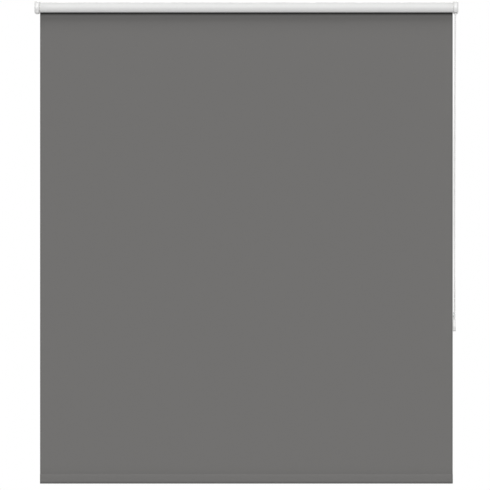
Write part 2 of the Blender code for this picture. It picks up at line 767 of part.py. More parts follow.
def free_chain_route():
    """Down the front strand, round the tensioner's wheel and straight up the back strand."""
    front_y = AXIS_Y - PITCH_RADIUS
    front = smooth_route([Vector((x * MM, front_y, z * MM)) for x, z in FRONT_STRAND], 44)
    turn = [
        Vector((TENSIONER_X, AXIS_Y - PITCH_RADIUS * math.cos(a), WHEEL_Z - PITCH_RADIUS * math.sin(a)))
        for a in (math.pi * i / 12 for i in range(1, 12))
    ]
    back = [BACK_STRAND_FOOT.lerp(BACK_STRAND_TOP, i / 18) for i in range(19)]
    return front + turn + back


def chain_over_sprocket_route():
    steps = 18
    over = [
        Vector((CHAIN_X, AXIS_Y - PITCH_RADIUS * math.cos(a), PITCH_RADIUS * math.sin(a)))
        for a in (math.pi * i / steps for i in range(steps + 1))
    ]
    low = CHAIN_EXIT_Z + GAP
    front_foot = Vector((CHAIN_X, AXIS_Y - PITCH_RADIUS, low))
    back_foot = Vector((CHAIN_X, AXIS_Y + PITCH_RADIUS, low))
    return [front_foot] + over + [back_foot]


def chain():
    wire("bead_chain", free_chain_route(), CHAIN_RADIUS, "white_plastic", sides_setting=2)
    wire("chain_over_sprocket", chain_over_sprocket_route(), CHAIN_RADIUS, "white_plastic", sides_setting=2)
    strand = (BACK_STRAND_TOP - BACK_STRAND_FOOT).normalized()
    middle = BACK_STRAND_FOOT + strand * ((CONNECTOR_Z - WHEEL_Z) / strand.z)
    half, bore = CONNECTOR_LENGTH / 2, CHAIN_RADIUS + 0.35 * MM
    sleeve = turned_object(
        "chain_connector",
        [
            (-half, bore),
            (-half, CONNECTOR_RADIUS - 0.5 * MM),
            (-half + 0.8 * MM, CONNECTOR_RADIUS),
            (half - 0.8 * MM, CONNECTOR_RADIUS),
            (half, CONNECTOR_RADIUS - 0.5 * MM),
            (half, bore),
        ],
        closed=True,
        steps=20,
    )
    turn = Vector((0, 0, 1)).rotation_difference(strand).to_matrix().to_4x4()
    sleeve.matrix_world = Matrix.Translation(middle) @ turn
    finish_piece(sleeve, "clear_plastic", ROOT)


# ---------------------------------------------------------------- chain tensioner
def tensioner():
    """The child-safety device: a slim case on the wall whose wheel carries the foot of the chain."""
    centre = (AXIS_Y, WHEEL_Z)
    wall = -AXIS_Y
    reach = PITCH_RADIUS + CHAIN_RADIUS + 0.36 * MM
    outer = reach + 1.3 * MM
    top, tab_top = TENSIONER_TOP_Z - WHEEL_Z, TAB_TOP_Z - WHEEL_Z
    case_outline = (
        [(wall, tab_top), (wall - TAB_THICKNESS, tab_top), (wall - TAB_THICKNESS, top), (-outer, top)]
        + arc(outer, math.pi, 3 * math.pi / 2, 12)
        + [(10 * MM, -14 * MM), (16 * MM, -11 * MM), (wall, -10 * MM)]
    )
    divider, divider_foot = PITCH_RADIUS - GROOVE_RADIUS - 0.1 * MM, WHEEL_RADIUS + 0.6 * MM
    channel = (
        [(-reach, top + 2 * MM)]
        + arc(reach, math.pi, 2 * math.pi, 24)
        + [(reach, top + 2 * MM), (divider, top + 2 * MM), (divider, divider_foot)]
        + [(-divider, divider_foot), (-divider, top + 2 * MM)]
    )
    low, high = TENSIONER_X - TENSIONER_HALF_WIDTH, TENSIONER_X + TENSIONER_HALF_WIDTH
    seam = high - TENSIONER_SKIN
    body = slab("tensioner_body", [case_outline], low, seam - 0.1 * MM, "white_plastic", TENSIONER_AXIS, centre)
    hollow = slab("tensioner_channel", [channel], low + TENSIONER_SKIN, high + 2 * MM, "white_plastic", centre=centre)
    axle_hole = slab(
        "axle_hole", [circle(AXLE_RADIUS + 0.05 * MM, 20)], low + 0.4 * MM, low + 3 * MM, "white_plastic", centre=centre
    )
    screw_hole = turned_object("tab_screw_hole", [(8 * MM, 0), (8 * MM, 1.9 * MM), (-8 * MM, 1.9 * MM), (-8 * MM, 0)], False, 16)
    screw_hole.matrix_world = Matrix.Translation((TENSIONER_X, 0, TAB_SCREW_Z)) @ ALONG_Y
    cut(body, hollow, axle_hole, screw_hole)
    lid_outline = (
        [(wall - 4 * MM, top - 0.1 * MM), (-outer, top - 0.1 * MM)]
        + arc(outer, math.pi, 3 * math.pi / 2, 12)
        + [(10 * MM, -14 * MM), (16 * MM, -11 * MM), (wall - 4 * MM, -10.5 * MM)]
    )
    slab(
        "tensioner_cover",
        [lid_outline, circle(AXLE_RADIUS + 0.05 * MM, 20)],
        seam,
        high,
        "white_plastic",
        TENSIONER_AXIS,
        centre,
    )
    profile = groove_profile(TENSIONER_X, WHEEL_HALF_WIDTH, WHEEL_RADIUS, AXLE_RADIUS + 0.2 * MM)
    turned("tensioner_wheel", profile, "nylon", TENSIONER_AXIS, centre, steps=28)
    turned(
        "tensioner_axle",
        [(low + 0.5 * MM, 0), (low + 0.5 * MM, AXLE_RADIUS), (high - 0.1 * MM, AXLE_RADIUS), (high - 0.1 * MM, 0)],
        "zinc_steel",
        TENSIONER_AXIS,
        centre,
        closed=False,
        steps=20,
    )


# ---------------------------------------------------------------- screws
def wood_screw(name, place, seat, material="zinc_steel"):
    """A pan-head screw driven into the wall, its head on a face that is seat in front of the wall."""
    profile = [
        (SCREW_TIP_Y, 0),
        (SCREW_TIP_Y - 3.5 * MM, 1.6 * MM),
        (-seat - 0.1 * MM, 1.6 * MM),
        (-seat - 0.1 * MM, 3.4 * MM),
        (-seat - 1.1 * MM, 3.3 * MM),
        (-seat - 2.0 * MM, 2.3 * MM),
        (-seat - 2.3 * MM, 0),
    ]
    screw = turned_object(name, profile, False, 16)
    screw.matrix_world = Matrix.Translation(place) @ ALONG_Y
    finish_piece(screw, material, ROOT)
    recess = bpy.data.objects.new(
        name + "_recess", slab_mesh(name + "_recess", [toothed(0.7 * MM, 1.9 * MM, 4, 0.35 * MM, land_steps=1)], -3 * MM, 3 * MM)
    )
    recess.matrix_world = Matrix.Translation(Vector(place) - Vector((0, seat + 4.1 * MM, 0))) @ ALONG_Y
    cut(screw, recess)


def fixings():
    for prefix, side in (("control", 1), ("idle", -1)):
        for level, height in (("upper", FIXING_SPREAD), ("lower", -FIXING_SPREAD)):
            place = (mirrored(FIXING_X, side), 0, height)
            wood_screw(f"{prefix}_bracket_screw_{level}", place, PLATE_THICKNESS)
    wood_screw("tensioner_screw", (TENSIONER_X, 0, TAB_SCREW_Z), TAB_THICKNESS, "white_steel")


# ---------------------------------------------------------------- the blind
for prefix, side in (("control", 1), ("idle", -1)):
    bracket(prefix, side)
    bracket_cover(prefix, side)
clutch()
idle_end()
roller()
fabric_drop()
hem()
chain()
tensioner()
fixings()
for piece in BLIND.objects:
    smooth_shading(piece)
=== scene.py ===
import json
import math

import bmesh
import bpy
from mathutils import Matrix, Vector, noise


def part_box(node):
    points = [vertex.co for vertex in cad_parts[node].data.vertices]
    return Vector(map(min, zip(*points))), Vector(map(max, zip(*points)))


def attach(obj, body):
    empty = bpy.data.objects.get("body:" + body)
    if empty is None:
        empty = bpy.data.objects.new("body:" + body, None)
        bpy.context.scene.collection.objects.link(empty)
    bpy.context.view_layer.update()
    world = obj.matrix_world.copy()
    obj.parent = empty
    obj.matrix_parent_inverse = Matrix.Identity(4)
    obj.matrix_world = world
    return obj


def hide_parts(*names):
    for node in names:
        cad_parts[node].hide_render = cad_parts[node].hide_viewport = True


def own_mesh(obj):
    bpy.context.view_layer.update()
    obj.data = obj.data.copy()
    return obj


mm = 0.001

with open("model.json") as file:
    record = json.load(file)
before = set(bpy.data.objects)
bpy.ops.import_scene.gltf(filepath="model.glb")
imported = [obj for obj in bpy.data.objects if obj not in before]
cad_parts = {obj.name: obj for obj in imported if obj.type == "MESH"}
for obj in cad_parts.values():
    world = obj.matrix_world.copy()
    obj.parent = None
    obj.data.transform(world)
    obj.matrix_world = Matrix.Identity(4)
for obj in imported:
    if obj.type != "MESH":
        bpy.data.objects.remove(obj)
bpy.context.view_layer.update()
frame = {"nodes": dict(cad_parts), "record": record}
print("frame loaded,", len(frame["nodes"]), "nodes")

# Where things are, read from the frame
rollLow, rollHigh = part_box("fabric_roll")
dropLow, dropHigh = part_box("fabric_drop")
hemLow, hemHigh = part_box("hem_pocket")
connectorLow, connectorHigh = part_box("chain_connector")
axisY = (rollLow.y + rollHigh.y) / 2
rollRadius = (rollHigh.z - rollLow.z) / 2
cutEdge = 0.3 * mm  # how far the fabric stands past the CAD's on each side
fabricHalf = dropHigh.x + cutEdge
sheetFront, sheetBack = dropLow.y, dropHigh.y
sheetThickness = sheetBack - sheetFront
hemTop, hemBottom = hemHigh.z, hemLow.z
hemY, hemZ = (hemLow.y + hemHigh.y) / 2, (hemTop + hemBottom) / 2

scene = bpy.context.scene
blind = bpy.data.collections.new("blind")
studio = bpy.data.collections.new("studio")
scene.collection.children.link(blind)
scene.collection.children.link(studio)


# The camera

cameraSettings = {
    "centre": (-4.3 * mm, -729.0 * mm),  # x and z that the view is centred on
    "width": 1504.3 * mm,  # how much of the fabric's plane the view spans
    "lens": 600.0,
    "sensor": 36.0,
    "reach": 4,  # how far it sees, in times its distance
}


def makeCamera(s):
    data = bpy.data.cameras.new("camera")
    data.lens, data.sensor_width = s["lens"], s["sensor"]
    distance = s["width"] * s["lens"] / s["sensor"]
    data.clip_end = s["reach"] * distance
    camera = bpy.data.objects.new("camera", data)
    camera.location = (s["centre"][0], sheetFront - distance, s["centre"][1])
    camera.rotation_euler = (math.radians(90), 0, 0)
    studio.objects.link(camera)
    scene.camera = camera


makeCamera(cameraSettings)


# Shader wiring

class Wire:
    # an output socket of a node; sums on it add Math nodes
    def __init__(self, graph, socket):
        self.graph, self.socket = graph, socket

    def sum(self, operation, *terms):
        return self.graph.node("Math", {"operation": operation}, dict(enumerate(terms)))

    def __add__(self, other):
        return self.sum("ADD", self, other)

    def __radd__(self, other):
        return self.sum("ADD", other, self)

    def __sub__(self, other):
        return self.sum("SUBTRACT", self, other)

    def __rsub__(self, other):
        return self.sum("SUBTRACT", other, self)

    def __mul__(self, other):
        return self.sum("MULTIPLY", self, other)

    def __rmul__(self, other):
        return self.sum("MULTIPLY", other, self)

    def __pow__(self, other):
        return self.sum("POWER", self, other)

    def __abs__(self):
        return self.sum("ABSOLUTE", self)

    def sine(self):
        return self.sum("SINE", self)


class Graph:
    # a node tree, and the shader that its nodes feed
    def __init__(self, tree, shader):
        self.tree, self.shader = tree, tree.nodes[shader]

    def plug(self, socket, value):
        if isinstance(value, Wire):
            self.tree.links.new(value.socket, socket)
        elif isinstance(value, tuple) and len(socket.default_value) == 4:
            socket.default_value = (*value, 1.0)
        else:
            socket.default_value = value

    def node(self, kind, settings=None, inputs=None, output=0):
        made = self.tree.nodes.new("ShaderNode" + kind)
        for name, value in (settings or {}).items():
            setattr(made, name, value)
        for name, value in (inputs or {}).items():
            self.plug(made.inputs[name], value)
        return Wire(self, made.outputs[output])

    def set(self, **sockets):
        for socket, value in sockets.items():
            self.plug(self.shader.inputs[socket.replace("_", " ")], value)


class Finish(Graph):
    # a material, and what makes its surface vary from place to place
    def __init__(self, name, **sockets):
        self.material = bpy.data.materials.new(name)
        self.material.use_nodes = True
        super().__init__(self.material.node_tree, "Principled BSDF")
        self.set(**sockets)

    def place(self, stretch=None):
        # the object's own coordinates in metres, stretched if asked
        coordinates = self.node("TexCoord", output="Object")
        if stretch:
            coordinates = self.node("VectorMath", {"operation": "MULTIPLY"}, {0: coordinates, 1: stretch})
        return coordinates

    def along(self, axis):
        return self.node("SeparateXYZ", {}, {0: self.place()}, output=axis)

    def grain(self, scale, detail=2.0, roughness=0.5, stretch=None):
        # noise from 0 to 1, with its middle at 0.5
        inputs = {"Vector": self.place(stretch), "Scale": scale, "Detail": detail, "Roughness": roughness}
        return self.node("TexNoise", {}, inputs)

    def between(self, mask, low, high):
        # a colour between two, by a value from 0 to 1
        return self.node("Mix", {"data_type": "RGBA"}, {0: mask, 6: low, 7: high}, output=2)

    def mottled(self, mask, colour, low, high):
        # a colour times low to high, by a value from 0 to 1
        darker, lighter = (tuple(channel * factor for channel in colour) for factor in (low, high))
        return self.between(mask, darker, lighter)

    def clamped(self, value, low, high):
        # 0 up to low, 1 from high on
        ranged = {"Value": value, "From Min": low, "From Max": high, "To Min": 0.0, "To Max": 1.0}
        return self.node("MapRange", {"clamp": True}, ranged)

    def bumped(self, height, distance):
        inputs = {"Height": height, "Distance": distance, "Strength": 1.0}
        self.set(Normal=self.node("Bump", {}, inputs))


# Fabric finishes

fabricLook = {
    "grey": (0.164, 0.161, 0.157),
    "white": (0.765, 0.765, 0.76),
    "thread": 0.55 * mm,
    "threadSharpness": 0.5,  # lower makes flatter threads with narrower gaps
    "contrast": 0.16,  # between the threads and the gaps between them
    "shares": (0.72, 0.2, 0.03),  # of threads, slubs and clouds in the grey
    "slubsDown": (900.0, 40.0, 25.0),  # how far uneven threads are stretched
    "slubsAcross": (22.0, 40.0, 900.0),
    "cloudScale": 6.0,
    "roughness": (0.82, 0.12),  # at its least, and how much slubs add
    "weaveDepth": 0.10 * mm,
    "paintedEdgeShade": 0.28,  # how much the painted shade darkens the cut edges
    "edgeWidth": 4.6 * mm,
    "paintedRollShadow": 0.80,  # how much the painted shadow darkens the top, close under the roll
    "rollShadeHeight": 10.6 * mm,
    "paintedTopShadow": 0.09,  # and how much a fainter painted shadow darkens it a little further down
    "topShadeHeight": 32.0 * mm,
    "paintedFootShade": 0.40,  # how much the painted shade darkens the foot of the hem
    "footShadeHeight": 8.1 * mm,
    "coatRoughness": (0.50, 0.12),  # at its least, and how much mottling adds
    "coatTints": (0.975, 1.01),
    "coatMottle": 140.0,
    "coatStreaks": (6.0, 300.0, 300.0),
    "coatDepth": 0.03 * mm,
}


def weaveHeight(finish, look):
    # plain weave: ridges that swap places at every crossing, and the height of the threads alone
    turn = math.pi / look["thread"]
    weave = (finish.along("X") * turn).sine() * (finish.along("Z") * turn).sine()
    return weave, abs(weave) ** look["threadSharpness"]


def paintedFabricShade(finish, look):
    # painted shade at the cut edges, painted shadow close under the roll and painted shade at the foot of
    # the hem
    # painted shade along the cut edges
    edgeShadeMask = 1 - finish.clamped(fabricHalf - abs(finish.along("X")), 0.0, look["edgeWidth"])
    height, underRoll, fade = finish.along("Z"), -rollRadius, look["topShadeHeight"]
    # painted shadow of the roll: strong close under it, fainter further down
    rollShadowMask = finish.clamped(height, underRoll - look["rollShadeHeight"], underRoll)
    topShadowMask = finish.clamped(height, underRoll - fade, underRoll - 0.5 * fade)
    # painted shade where the hem's foot turns downward
    footShadeMask = 1 - finish.clamped(height, hemBottom, hemBottom + look["footShadeHeight"])
    return (
        edgeShadeMask * look["paintedEdgeShade"] + rollShadowMask * look["paintedRollShadow"]
        + topShadowMask * look["paintedTopShadow"] + footShadeMask * look["paintedFootShade"]
    )


def wovenFace(name, look):
    # the grey face: a fine plain weave with faint slubs along the threads, darkened by the painted shade
    # and shadow
    finish = Finish(name, Specular_IOR_Level=0.25, Sheen_Weight=0.06, Sheen_Roughness=0.5)
    warpSlubs = finish.grain(1.0, 2.0, 0.6, look["slubsDown"])
    weftSlubs = finish.grain(1.0, 2.0, 0.6, look["slubsAcross"])
    slubs = (warpSlubs + weftSlubs) * 0.5
    weave, threads = weaveHeight(finish, look)
    ofThreads, ofSlubs, ofClouds = look["shares"]
    tone = threads * ofThreads + slubs * ofSlubs + finish.grain(look["cloudScale"]) * ofClouds
    cloth = finish.mottled(tone, look["grey"], 1 - look["contrast"], 1 + look["contrast"])
    least, added = look["roughness"]
    finish.set(
        # the cloth's colour darkened by the painted shade and shadow
        Base_Color=finish.between(paintedFabricShade(finish, look), cloth, (0.0, 0.0, 0.0)),
        Roughness=least + added * slubs,
    )
    finish.bumped(threads * 0.5 + weave * 0.1 + slubs * 0.4, look["weaveDepth"])
    return finish.material


def coatedBack(name, look):
    # the white back: a smooth coating that lets the weave show faintly
    finish = Finish(name, Specular_IOR_Level=0.6)
    mottle = finish.grain(look["coatMottle"], 3.0)
    streaks = finish.grain(1.0, stretch=look["coatStreaks"])
    tone = finish.clamped(mottle * 0.5 + streaks * 0.5, 0.3, 0.7)
    least, added = look["coatRoughness"]
    finish.set(
        Base_Color=finish.mottled(tone, look["white"], *look["coatTints"]),
        Roughness=least + added * mottle,
    )
    threads = weaveHeight(finish, look)[1]
    finish.bumped(threads * 0.5 + mottle * 0.5, look["coatDepth"])
    return finish.material


greyWeave = wovenFace("greyWeave", fabricLook)
whiteCoating = coatedBack("whiteCoating", fabricLook)


# Hard finishes: scales are in marks per metre, depths in metres

plasticLook = {
    "fine": 5200.0,
    "flow": 55.0,
    "tints": (0.97, 1.01),
    "unevenness": 0.1,  # of the gloss
    "depth": 0.012 * mm,
}
powderLook = {
    "peel": 900.0,
    "tints": (0.97, 1.01),
    "roughness": 0.30,
    "unevenness": 0.12,
    "depth": 0.03 * mm,
}
metalLook = {
    "clouds": 60.0,
    "tints": (0.86, 1.08),
    "unevenness": 0.16,
    "depth": 0.008 * mm,
}
clearLook = {
    "colour": (0.93, 0.95, 0.95),
    "haze": 700.0,
    "roughness": 0.08,
    "unevenness": 0.1,
    "depth": 0.01 * mm,
}


def mouldedPlastic(name, colour, roughness, shine=0.5, look=plasticLook):
    # moulded plastic: a fine spark-eroded grain and faint flow marks
    finish = Finish(name, Specular_IOR_Level=shine)
    fine = finish.grain(look["fine"])
    flow = finish.grain(look["flow"], 3.0)
    tone = finish.clamped(flow * 0.7 + fine * 0.3, 0.3, 0.7)
    finish.set(
        Base_Color=finish.mottled(tone, colour, *look["tints"]),
        Roughness=roughness - look["unevenness"] / 2 + look["unevenness"] * flow,
    )
    finish.bumped(fine * 0.8 + flow * 0.2, look["depth"])
    return finish.material


def powderCoat(name, colour, look=powderLook):
    # the orange-peel skin of a powder coat
    finish = Finish(name)
    peel = finish.grain(look["peel"], 1.0)
    finish.set(
        Base_Color=finish.mottled(peel, colour, *look["tints"]),
        Roughness=look["roughness"] + look["unevenness"] * peel,
    )
    finish.bumped(peel, look["depth"])
    return finish.material


def bareMetal(name, colour, roughness, scale=400.0, stretch=None, look=metalLook):
    # drawn, extruded or plated metal, with its marks along stretch
    finish = Finish(name, Metallic=1.0)
    lines = finish.grain(scale, 3.0, 0.6, stretch)
    tone = lines * 0.6 + finish.grain(look["clouds"]) * 0.4
    finish.set(
        Base_Color=finish.mottled(tone, colour, *look["tints"]),
        Roughness=roughness - look["unevenness"] / 2 + look["unevenness"] * tone,
    )
    finish.bumped(lines, look["depth"])
    return finish.material


def clearPlastic(name, look=clearLook):
    finish = Finish(name, Base_Color=look["colour"], IOR=1.49, Transmission_Weight=0.85)
    haze = finish.grain(look["haze"])
    finish.set(Roughness=look["roughness"] + look["unevenness"] * haze)
    finish.bumped(haze, look["depth"])
    return finish.material


finishes = {
    "white_plastic": mouldedPlastic("whitePlastic", (0.785, 0.785, 0.78), 0.38, shine=0.9),
    "chain_plastic": mouldedPlastic("chainPlastic", (0.89, 0.89, 0.88), 0.28),
    "white_steel": powderCoat("whiteSteel", (0.78, 0.78, 0.77)),
    "nylon": mouldedPlastic("nylon", (0.76, 0.75, 0.70), 0.42),
    "grey_fabric": greyWeave,
    "white_backing": whiteCoating,
    "aluminium": bareMetal("aluminium", (0.72, 0.73, 0.74), 0.34, 2600.0, (0.02, 1.0, 1.0)),
    "zinc_steel": bareMetal("zincSteel", (0.62, 0.62, 0.60), 0.34),
    "spring_steel": bareMetal("springSteel", (0.34, 0.34, 0.35), 0.32),
    "grey_plastic": mouldedPlastic("greyPlastic", (0.150, 0.152, 0.141), 0.50),
    "clear_plastic": clearPlastic("clearPlastic"),
    "tape": mouldedPlastic("tape", (0.68, 0.66, 0.58), 0.55),
}
slots = {part["node"]: part["material_slot"] for part in frame["record"]["subparts"]}
glossyCase = mouldedPlastic("glossyCase", (0.83, 0.83, 0.82), 0.30)
ownFinishes = {"tensioner_body": glossyCase, "tensioner_cover": glossyCase}
print("finishes made,", len(finishes))


# Making pieces

def meshPiece(name, points, faces, materials):
    mesh = bpy.data.meshes.new(name)
    mesh.from_pydata(points, [], faces)
    mesh.update()
    for material in materials:
        mesh.materials.append(material)
    piece = bpy.data.objects.new(name, mesh)
    blind.objects.link(piece)
    mesh.shade_smooth()
    return piece


def sharpened(piece, degrees):
    # faces turned outward, and creases kept where they meet at more than degrees
    bm = bmesh.new()
    bm.from_mesh(piece.data)
    bmesh.ops.recalc_face_normals(bm, faces=bm.faces)
    bm.to_mesh(piece.data)
    bm.free()
    piece.data.set_sharp_from_angle(angle=math.radians(degrees))
    return piece


def ringed(sections):
    # closed rings bridged in turn, with a cap at each end
    points = [point for ring in sections for point in ring]
    count, faces = len(sections[0]), []
    for s in range(len(sections) - 1):
        for i in range(count):
            k = (i + 1) % count
            faces.append((s * count + i, s * count + k, (s + 1) * count + k, (s + 1) * count + i))
    faces.append(tuple(range(count))[::-1])
    faces.append(tuple(range((len(sections) - 1) * count, len(sections) * count)))
    return points, faces


def finishPiece(piece, body, slot, *nodes):
    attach(piece, body)
    if nodes:
        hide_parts(*nodes)


# Bead chain: a free part round the tensioner's wheel, and a part over the sprocket

chainShape = {
    "beadPitch": 6.0 * mm,
    "beadRadius": 2.25 * mm,
    "cordRadius": 0.75 * mm,
    "beadRings": 7,
    "beadSides": 12,
    "cordSides": 6,
    "teeth": 12,  # of the sprocket and of the wheel
    "topX": 641.1 * mm,
    "topZ": -21.5 * mm,
    "footX": 638.1 * mm,
    "footZ": -978.3 * mm,
    "overlap": 0.3 * mm,  # between the free part and the part over the sprocket
    "firstBead": 2.6 * mm,
    "firstBeadOver": 3.0 * mm,
    # how the front strand hangs, in mm across and up
    "frontStrand": [
        (641.1, -21.5), (641.0, -60), (640.6, -100), (639.9, -160), (639.2, -222), (638.6, -284),
        (637.9, -345), (637.3, -406), (636.9, -468), (636.6, -529), (636.5, -590), (636.6, -652),
        (637.1, -713), (637.9, -775), (638.8, -836), (639.5, -885), (639.7, -916), (639.4, -938),
        (638.6, -953), (638.1, -965), (638.1, -978.3),
    ],
    "frontSamples": 120,
    "backSamples": 60,
    "turnSamples": 24,
    "overSamples": 36,
}
chainRadius = chainShape["beadPitch"] / (2 * math.sin(math.pi / chainShape["teeth"]))
chainFront, chainBack = axisY - chainRadius, axisY + chainRadius
backFoot = Vector((chainShape["footX"], chainBack, chainShape["footZ"]))
backTop = Vector((chainShape["topX"], chainBack, chainShape["topZ"]))


def smoothRoute(points, samples):
    # a curve through all the points
    padded = [points[0] * 2 - points[1]] + points + [points[-1] * 2 - points[-2]]
    route = []
    for i in range(samples + 1):
        at = i / samples * (len(points) - 1)
        k = min(int(at), len(points) - 2)
        t = at - k
        a, b, c, d = padded[k:k + 4]
        bend, twist = 2 * a - 5 * b + 4 * c - d, 3 * b - a - 3 * c + d
        route.append(0.5 * (2 * b + (c - a) * t + bend * t**2 + twist * t**3))
    return route


def freeChainRoute(s):
    # down the front strand, round the tensioner's wheel and up the back strand
    front = [Vector((x * mm, chainFront, z * mm)) for x, z in s["frontStrand"]]
    down = smoothRoute(front, s["frontSamples"])
    angles = [math.pi * i / s["turnSamples"] for i in range(1, s["turnSamples"])]
    turn = [
        Vector((backFoot.x, axisY - chainRadius * math.cos(a), backFoot.z - chainRadius * math.sin(a)))
        for a in angles
    ]
    up = [backFoot.lerp(backTop, i / s["backSamples"]) for i in range(s["backSamples"] + 1)]
    return down + turn + up


def overSprocketRoute(s):
    angles = [math.pi * i / s["overSamples"] for i in range(s["overSamples"] + 1)]
    x, low = s["topX"], s["topZ"] + s["overlap"]
    over = [Vector((x, axisY - chainRadius * math.cos(a), chainRadius * math.sin(a))) for a in angles]
    return [Vector((x, chainFront, low)), *over, Vector((x, chainBack, low))]


def spacedAlong(route, step, first):
    # places every step along a route, each with its direction
    places, walked, wanted = [], 0.0, first
    for a, b in zip(route, route[1:]):
        length = (b - a).length
        while wanted <= walked + length:
            places.append((a.lerp(b, (wanted - walked) / length), (b - a).normalized()))
            wanted += step
        walked += length
    return places


def ballMesh(radius, rings, sides):
    # points and faces of a ball with its poles along z
    points = [Vector((0, 0, radius))]
    for r in range(1, rings):
        tilt = math.pi * r / rings
        for k in range(sides):
            a = 2 * math.pi * k / sides
            across = math.sin(tilt)
            points.append(Vector((across * math.cos(a), across * math.sin(a), math.cos(tilt))) * radius)
    points.append(Vector((0, 0, -radius)))
    foot, faces = len(points) - 1, []
    for k in range(sides):
        m = (k + 1) % sides
        faces.append((0, 1 + k, 1 + m))
        for r in range(rings - 2):
            top, low = 1 + r * sides, 1 + (r + 1) * sides
            faces.append((top + k, low + k, low + m, top + m))
        last = 1 + (rings - 2) * sides
        faces.append((foot, last + m, last + k))
    return points, faces


def turnedTo(along):
    return Vector((0, 0, 1)).rotation_difference(along).to_matrix()


def beadsOn(name, route, s, first):
    # moulded beads on a thin cord, as one mesh
    points, faces = [], []

    def add(morePoints, moreFaces):
        start = len(points)
        points.extend(morePoints)
        faces.extend(tuple(start + i for i in face) for face in moreFaces)

    ball, ballFaces = ballMesh(s["beadRadius"], s["beadRings"], s["beadSides"])
    for place, along in spacedAlong(route, s["beadPitch"], first):
        turn = turnedTo(along)
        add([place + turn @ p for p in ball], ballFaces)
    half = s["beadPitch"] / 2
    knots = [route[0], *[p for p, _ in spacedAlong(route, half, half)], route[-1]]
    angles = [2 * math.pi * k / s["cordSides"] for k in range(s["cordSides"])]
    rim = [Vector((math.cos(a), math.sin(a), 0)) * s["cordRadius"] for a in angles]
    sections = []
    for i, place in enumerate(knots):
        turn = turnedTo((knots[min(i + 1, len(knots) - 1)] - knots[max(i - 1, 0)]).normalized())
        sections.append([place + turn @ p for p in rim])
    add(*ringed(sections))
    return meshPiece(name, points, faces, [finishes["chain_plastic"]])


chainRoute = freeChainRoute(chainShape)
chainLength = sum((b - a).length for a, b in zip(chainRoute, chainRoute[1:]))
beadChain = beadsOn("beadChain", chainRoute, chainShape, chainShape["firstBead"])
finishPiece(beadChain, "frame", "chain_plastic", "bead_chain")
overRoute = overSprocketRoute(chainShape)
chainTop = beadsOn("chainOverSprocket", overRoute, chainShape, chainShape["firstBeadOver"])
finishPiece(chainTop, "frame", "chain_plastic", "chain_over_sprocket")

connectorShape = {
    "slitTurn": math.radians(36),
    "wall": 0.75 * mm,
    "waist": 0.45 * mm,
    "endRound": 0.35 * mm,
    "endShare": 6,  # the ends are rounded over one part in this many
    "stations": 14,
    "steps": 28,
}


def chainConnector(s):
    # a clear snap sleeve with a slit down one side and a slight waist
    along = (backTop - backFoot).normalized()
    length = connectorHigh.z - connectorLow.z
    middleZ = (connectorLow.z + connectorHigh.z) / 2
    middle = backFoot + along * ((middleZ - backFoot.z) / along.z)
    outer = (connectorHigh.y - connectorLow.y) / 2
    inner = outer - s["wall"] - s["waist"] / 2
    slit, steps = s["slitTurn"], s["steps"]
    angles = [slit / 2 + (2 * math.pi - slit) * i / steps for i in range(steps + 1)]
    sections = []
    for k in range(s["stations"] + 1):
        t = k / s["stations"]
        nearEnd = max(0.0, abs(2 * t - 1) * s["endShare"] - s["endShare"] + 1)
        radius = outer - s["waist"] * math.cos((t - 0.5) * math.pi) ** 2 - s["endRound"] * nearEnd**2
        ring = [(radius, a) for a in angles] + [(inner, a) for a in reversed(angles)]
        centre = middle + along * (t - 0.5) * length
        sections.append([centre + Vector((r * math.cos(a), r * math.sin(a), 0)) for r, a in ring])
    return sharpened(meshPiece("chainConnector", *ringed(sections), [finishes["clear_plastic"]]), 40)


finishPiece(chainConnector(connectorShape), "connector", "clear_plastic", "chain_connector")
print("chain made,", round(chainLength, 3), "m free")


# Hanging fabric

sheetShape = {
    "acrossSteps": 46,
    "downSteps": 44,
    "edgeCurl": 0.45 * mm,  # how far each cut edge turns forward
    "edgeCurlWidth": 9.0 * mm,
    "edgeSteps": (0.2, 0.4, 0.6, 0.75, 0.88, 1.0),
    "waveDepth": 0.30 * mm,
    "waveLength": 430.0 * mm,
    "waveStretch": 0.4,
    "waveSeed": 4.7,
    "tuck": 1.2 * mm,  # how far the foot reaches into the hem
    "tuckFront": 0.12 * mm,  # how much the foot is thinned at its front and back
    "tuckBack": 0.1 * mm,
}


def sheetColumns(s):
    # places across the sheet, closer together at its cut edges
    inner = fabricHalf - s["edgeCurlWidth"]
    edge = [inner + s["edgeCurlWidth"] * t for t in s["edgeSteps"]]
    middle = [inner * (2 * i / s["acrossSteps"] - 1) for i in range(s["acrossSteps"] + 1)]
    return [-x for x in reversed(edge)] + middle + edge


def sheetDepth(x, z, s, length):
    # how far a point of the sheet stands in front of its flat place
    down = min(1.0, max(0.0, -z / length))
    free = math.sin(math.pi * down) ** 2
    wave = noise.noise(Vector((x / s["waveLength"], s["waveStretch"] * z / s["waveLength"], s["waveSeed"])))
    curl = max(0.0, (abs(x) - fabricHalf + s["edgeCurlWidth"]) / s["edgeCurlWidth"]) ** 2
    return free * (s["waveDepth"] * (0.5 + wave) + s["edgeCurl"] * curl)


